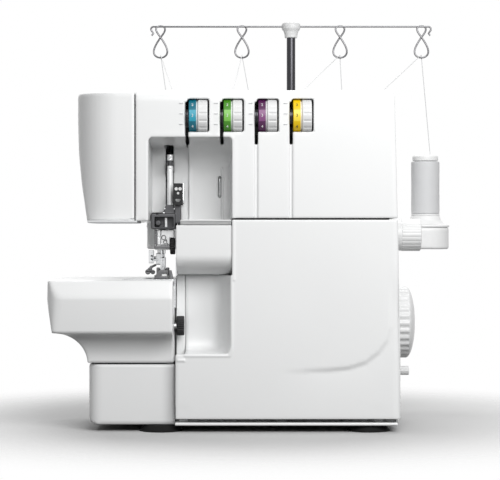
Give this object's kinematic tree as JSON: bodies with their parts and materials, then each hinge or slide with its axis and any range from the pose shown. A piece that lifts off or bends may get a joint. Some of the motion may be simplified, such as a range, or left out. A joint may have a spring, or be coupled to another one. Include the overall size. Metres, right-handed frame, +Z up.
{
  "type": "serger overlock machine",
  "caption": "Household serger with front-opening looper cover, removable cloth plate, side handwheel, dial tension units and a rear spool stand with telescopic thread guide.",
  "frame": {"origin": "middle of the whole machine's footprint, on the surface that its feet stand on", "axes": "+Z up, +Y towards the rear, +X towards the handwheel"},
  "size_m": [0.388, 0.27, 0.397],
  "materials": {
    "shell_white": "satin",
    "shell_grey": "fine grain",
    "black_plastic": "satin",
    "rubber_black": "matte",
    "cast_alloy": "cast",
    "dark_casting": "satin",
    "steel_bright": "polished",
    "steel_brushed": "brushed",
    "dial_teal": "gloss",
    "dial_green": "gloss",
    "dial_purple": "gloss",
    "dial_yellow": "gloss",
    "thread_pale": "wound thread",
    "lamp_lens": "frosted"
  },
  "bodies": {
    "root": {"base_pan": "shell_grey", "base_box": "shell_grey", "hinge_brackets": "shell_grey", "rubber_feet": "rubber_black", "front_cover": "shell_white", "rear_cover": "shell_white", "face_cover": "shell_white", "knife_guard": "shell_grey", "cover_screws": "steel_brushed", "machine_frame": "cast_alloy", "needle_bar_guide": "dark_casting", "needle_plate": "steel_bright", "timing_belt": "black_plastic", "motor": "dark_casting", "thread_guide_plate": "black_plastic", "presser_spring": "steel_brushed", "lower_knife": "steel_brushed", "tension_discs": "steel_bright", "tension_bracket": "steel_brushed", "power_inlet": "black_plastic", "lamp": "lamp_lens", "spool_stand": "shell_grey", "spool_pins": "steel_bright", "spool_seats": "shell_grey", "spool_cores": "shell_grey", "thread_windings": "thread_pale", "antenna_lower_tube": "steel_bright", "threads": "thread_pale", "thread_rail": "steel_brushed"},
    "handwheel": {"handwheel": "shell_white", "main_shaft": "steel_bright", "shaft_pulley": "steel_brushed"},
    "motor_rotor": {"motor_pulley": "steel_brushed"},
    "needle_drive": {"needle_bar": "steel_bright", "needle_clamp": "steel_bright", "needle_screw": "black_plastic", "needles": "steel_bright"},
    "needle_rocker": {"needle_arm": "dark_casting"},
    "presser": {"presser_bar": "steel_bright", "presser_foot_holder": "steel_brushed"},
    "presser_foot": {"presser_foot": "steel_brushed"},
    "presser_lifter": {"presser_lifter": "shell_grey"},
    "upper_looper": {"upper_looper": "steel_bright"},
    "lower_looper": {"lower_looper": "steel_bright"},
    "feed_dog": {"feed_dog": "steel_brushed"},
    "upper_knife": {"upper_knife": "steel_brushed"},
    "dial_1": {"tension_dial_1": "dial_teal"},
    "dial_2": {"tension_dial_2": "dial_green"},
    "dial_3": {"tension_dial_3": "dial_purple"},
    "dial_4": {"tension_dial_4": "dial_yellow"},
    "stitch_dial": {"stitch_dial": "shell_white"},
    "feed_knob": {"feed_knob": "shell_white"},
    "width_knob": {"width_knob": "black_plastic"},
    "power_switch": {"power_switch": "black_plastic"},
    "door_hinge": {"hinge_rod": "steel_bright"},
    "door": {"looper_cover": "shell_white", "door_bay": "shell_white"},
    "cloth_cover": {"cloth_plate_cover": "shell_white"},
    "antenna": {"antenna_upper_tube": "steel_bright", "antenna_head": "steel_bright"}
  },
  "joints": [
    {"name": "handwheel_spin", "type": "hinge", "parent": "root", "child": "handwheel", "pos_m": [0, -0.01, 0.095], "axis": [1, 0, 0], "continuous": true},
    {"name": "motor_spin", "type": "hinge", "parent": "root", "child": "motor_rotor", "pos_m": [0, 0.004, 0.052], "axis": [1, 0, 0], "continuous": true},
    {"name": "needle_bar_slide", "type": "slide", "parent": "root", "child": "needle_drive", "axis": [0, 0, 1], "range_m": [-0.02, 0]},
    {"name": "needle_arm_rock", "type": "hinge", "parent": "root", "child": "needle_rocker", "pos_m": [-0.0847, -0.02, 0.2335], "axis": [1, 0, 0], "range_deg": [0, 19.2]},
    {"name": "presser_bar_slide", "type": "slide", "parent": "root", "child": "presser", "axis": [0, 0, 1], "range_m": [0, 0.006], "deforming": ["presser_spring"]},
    {"name": "presser_foot_tilt", "type": "hinge", "parent": "presser", "child": "presser_foot", "pos_m": [-0.092, -0.063, 0.1455], "axis": [-1, 0, 0], "range_deg": [0, 8]},
    {"name": "presser_lifter_turn", "type": "hinge", "parent": "root", "child": "presser_lifter", "pos_m": [-0.1065, 0, 0.207], "axis": [0, -1, 0], "range_deg": [0, 35.02]},
    {"name": "upper_looper_rock", "type": "hinge", "parent": "root", "child": "upper_looper", "pos_m": [-0.104, -0.06, 0.066], "axis": [0, 1, 0], "range_deg": [-8, 8]},
    {"name": "lower_looper_rock", "type": "hinge", "parent": "root", "child": "lower_looper", "pos_m": [-0.116, -0.06, 0.092], "axis": [0, 1, 0], "range_deg": [-5, 24]},
    {"name": "feed_dog_slide", "type": "slide", "parent": "root", "child": "feed_dog", "axis": [0, 1, 0], "range_m": [-0.0025, 0.0025]},
    {"name": "upper_knife_slide", "type": "slide", "parent": "root", "child": "upper_knife", "axis": [0, 0, 1], "range_m": [-0.006, 0.002]},
    {"name": "tension_dial_1_turn", "type": "hinge", "parent": "root", "child": "dial_1", "pos_m": [0, -0.1075, 0.2856], "axis": [1, 0, 0], "range_deg": [-216, 108]},
    {"name": "tension_dial_2_turn", "type": "hinge", "parent": "root", "child": "dial_2", "pos_m": [0, -0.1075, 0.2856], "axis": [1, 0, 0], "range_deg": [-216, 108]},
    {"name": "tension_dial_3_turn", "type": "hinge", "parent": "root", "child": "dial_3", "pos_m": [0, -0.1075, 0.2856], "axis": [1, 0, 0], "range_deg": [-216, 108]},
    {"name": "tension_dial_4_turn", "type": "hinge", "parent": "root", "child": "dial_4", "pos_m": [0, -0.1075, 0.2856], "axis": [1, 0, 0], "range_deg": [-216, 108]},
    {"name": "stitch_dial_turn", "type": "hinge", "parent": "root", "child": "stitch_dial", "pos_m": [0.123, -0.02, 0.1785], "axis": [1, 0, 0], "range_deg": [-120, 120]},
    {"name": "feed_knob_turn", "type": "hinge", "parent": "root", "child": "feed_knob", "pos_m": [0.126, -0.02, 0.049], "axis": [1, 0, 0], "range_deg": [-90, 90]},
    {"name": "width_knob_turn", "type": "hinge", "parent": "root", "child": "width_knob", "pos_m": [-0.078, -0.095, 0.0954], "axis": [1, 0, 0], "range_deg": [-135, 135]},
    {"name": "power_switch_rock", "type": "hinge", "parent": "root", "child": "power_switch", "pos_m": [0.1228, 0.016, 0.062], "axis": [0, 1, 0], "range_deg": [-5, 5]},
    {"name": "door_swing", "type": "hinge", "parent": "root", "child": "door_hinge", "pos_m": [0, -0.115, 0.016], "axis": [1, 0, 0], "range_deg": [0, 90]},
    {"name": "door_slide", "type": "slide", "parent": "door_hinge", "child": "door", "axis": [1, 0, 0], "range_m": [0, 0.006], "stiffness_N_per_m": 150},
    {"name": "cloth_cover_slide", "type": "slide", "parent": "root", "child": "cloth_cover", "axis": [-1, 0, 0], "range_m": [0, 0.1]},
    {"name": "antenna_slide", "type": "slide", "parent": "root", "child": "antenna", "axis": [0, 0, 1], "range_m": [-0.045, 0], "deforming": ["threads"]}
  ],
  "couplings": [
    {"joint": "motor_spin", "follows": "handwheel_spin", "ratio": 2.75},
    {"joint": "needle_arm_rock", "follows": "needle_bar_slide", "rad_per_m": -16.745},
    {"joint": "presser_lifter_turn", "follows": "presser_bar_slide", "rad_per_m": 101.81}
  ]
}
